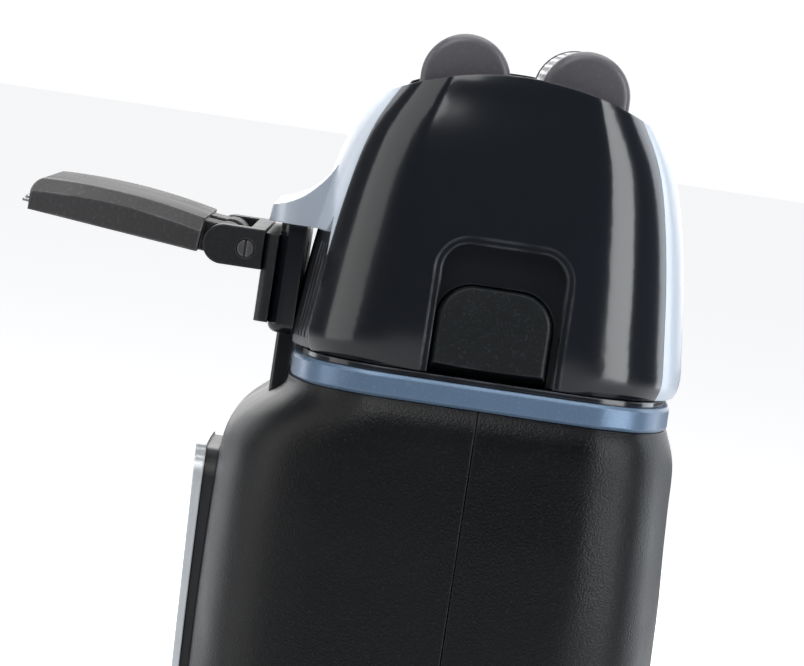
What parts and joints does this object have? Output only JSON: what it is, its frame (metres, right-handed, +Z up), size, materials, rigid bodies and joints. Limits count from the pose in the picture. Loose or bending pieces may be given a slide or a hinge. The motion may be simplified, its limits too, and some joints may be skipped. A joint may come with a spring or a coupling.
{
  "type": "electric shaver",
  "caption": "Hand-held twin-foil electric shaver with a lift-off head, floating foils, side release buttons and a fold-out long-hair trimmer.",
  "frame": {"origin": "middle of the flat foot on its resting plane", "axes": "+Z up along the handle towards the foils, -Y to the front (front panel and trimmer), +X across the width"},
  "size_m": [0.062, 0.069, 0.1523],
  "materials": {
    "body_black": "fine matt",
    "gloss_black": "polished",
    "soft_grip": "fine textured",
    "silver_shell": "satin metallic",
    "ring_blue": "satin metallic",
    "panel_rim": "bright",
    "panel_insert": "polished",
    "panel_backing": "satin",
    "button_face": "satin",
    "window": "smoked",
    "foil_steel": "perforated",
    "foil_cap": "satin",
    "blade_steel": "ground",
    "screw_steel": "zinc plated",
    "release_pad": "fine sparkle grain",
    "arm_grey": "satin",
    "mount_black": "fine grain",
    "inner_grey": "moulded",
    "drive_white": "moulded",
    "seal_rubber": "moulded",
    "board_green": "solder mask",
    "component_black": "moulded",
    "battery_wrap": "shrink wrap",
    "contact_gold": "plated",
    "magnet_dark": "sintered",
    "spring_steel": "drawn wire"
  },
  "bodies": {
    "handle": {"front_housing": "body_black", "rear_housing": "body_black", "panel_backing": "panel_backing", "panel_rim": "panel_rim", "panel_insert": "panel_insert", "indicator_lens": "window", "rear_grip": "soft_grip", "base_cap": "body_black", "foot_pad": "soft_grip", "charging_contacts": "contact_gold", "accent_ring": "ring_blue", "drive_deck": "gloss_black", "deck_seal": "seal_rubber", "motor_can": "screw_steel", "motor_bush": "contact_gold", "motor_end_cap": "inner_grey", "motor_magnets": "magnet_dark", "inner_chassis": "inner_grey", "housing_screws": "screw_steel", "battery_cell": "battery_wrap", "battery_tabs": "contact_gold", "circuit_board": "board_green", "board_components": "component_black", "tact_switch": "component_black", "trimmer_mount": "gloss_black", "trimmer_mount_plate": "mount_black", "trimmer_bracket": "mount_black", "trimmer_hinge_pin": "screw_steel", "bracket_screws": "screw_steel", "drive_leaf_springs": "spring_steel"},
    "power_key": {"power_button": "button_face"},
    "rotor": {"motor_rotor": "magnet_dark", "eccentric_cam": "contact_gold"},
    "oscillator": {"drive_bridge": "drive_white", "trimmer_drive_lever": "drive_white", "cutter_springs": "spring_steel"},
    "front_cutter": {"front_cutter_blades": "blade_steel", "front_cutter_holder": "drive_white"},
    "rear_cutter": {"rear_cutter_blades": "blade_steel", "rear_cutter_holder": "drive_white"},
    "head": {"head_frame": "mount_black", "side_cover_left": "gloss_black", "side_cover_right": "gloss_black", "head_front_shell": "silver_shell", "head_rear_shell": "silver_shell", "foil_cassette": "mount_black", "front_foil_springs": "spring_steel", "rear_foil_springs": "spring_steel"},
    "front_foil_unit": {"front_foil": "foil_steel", "front_foil_holder": "foil_cap"},
    "rear_foil_unit": {"rear_foil": "foil_steel", "rear_foil_holder": "foil_cap"},
    "release_left": {"release_button_left": "release_pad"},
    "release_right": {"release_button_right": "release_pad"},
    "trimmer_arm": {"trimmer_cover": "arm_grey", "trimmer_base_plate": "arm_grey", "trimmer_fixed_comb": "blade_steel", "trimmer_blade_spring": "spring_steel", "trimmer_screws": "screw_steel"},
    "trimmer_blade": {"trimmer_moving_blade": "blade_steel"}
  },
  "joints": [
    {"name": "power_press", "type": "slide", "parent": "handle", "child": "power_key", "axis": [0, 1, 0], "range_m": [0, 0.0005], "stiffness_N_per_m": 2000, "springref_m": -0.0003},
    {"name": "motor_spin", "type": "hinge", "parent": "handle", "child": "rotor", "pos_m": [0, 0, 0.09], "axis": [0, 0, 1], "continuous": true},
    {"name": "drive_oscillation", "type": "slide", "parent": "handle", "child": "oscillator", "axis": [1, 0, 0], "range_m": [-0.001, 0.001], "stiffness_N_per_m": 3000, "deforming": ["drive_leaf_springs"]},
    {"name": "front_cutter_float", "type": "slide", "parent": "oscillator", "child": "front_cutter", "axis": [0, 0, -1], "range_m": [0, 0.001], "deforming": ["cutter_springs"]},
    {"name": "rear_cutter_float", "type": "slide", "parent": "oscillator", "child": "rear_cutter", "axis": [0, 0, -1], "range_m": [0, 0.001]},
    {"name": "head_lift", "type": "slide", "parent": "handle", "child": "head", "axis": [0, 0, 1], "range_m": [0, 0.04]},
    {"name": "front_foil_float", "type": "slide", "parent": "head", "child": "front_foil_unit", "axis": [0, 0, -1], "range_m": [0, 0.001], "stiffness_N_per_m": 500, "springref_m": -0.001, "deforming": ["front_foil_springs"]},
    {"name": "rear_foil_float", "type": "slide", "parent": "head", "child": "rear_foil_unit", "axis": [0, 0, -1], "range_m": [0, 0.001], "stiffness_N_per_m": 500, "springref_m": -0.001, "deforming": ["rear_foil_springs"]},
    {"name": "release_left_press", "type": "slide", "parent": "head", "child": "release_left", "axis": [1, 0, 0], "range_m": [0, 0.0012], "stiffness_N_per_m": 1500, "springref_m": -0.0004},
    {"name": "release_right_press", "type": "slide", "parent": "head", "child": "release_right", "axis": [-1, 0, 0], "range_m": [0, 0.0012], "stiffness_N_per_m": 1500, "springref_m": -0.0004},
    {"name": "trimmer_fold", "type": "hinge", "parent": "handle", "child": "trimmer_arm", "pos_m": [0, -0.02704, 0.1284], "axis": [1, 0, 0], "range_deg": [0, 90]},
    {"name": "trimmer_blade_slide", "type": "slide", "parent": "trimmer_arm", "child": "trimmer_blade", "axis": [1, 0, 0], "range_m": [-0.001, 0.001]}
  ],
  "couplings": [
    {"joint": "front_cutter_float", "follows": "front_foil_float", "ratio": 1},
    {"joint": "rear_cutter_float", "follows": "rear_foil_float", "ratio": 1},
    {"joint": "trimmer_blade_slide", "follows": "drive_oscillation", "ratio": 1}
  ]
}
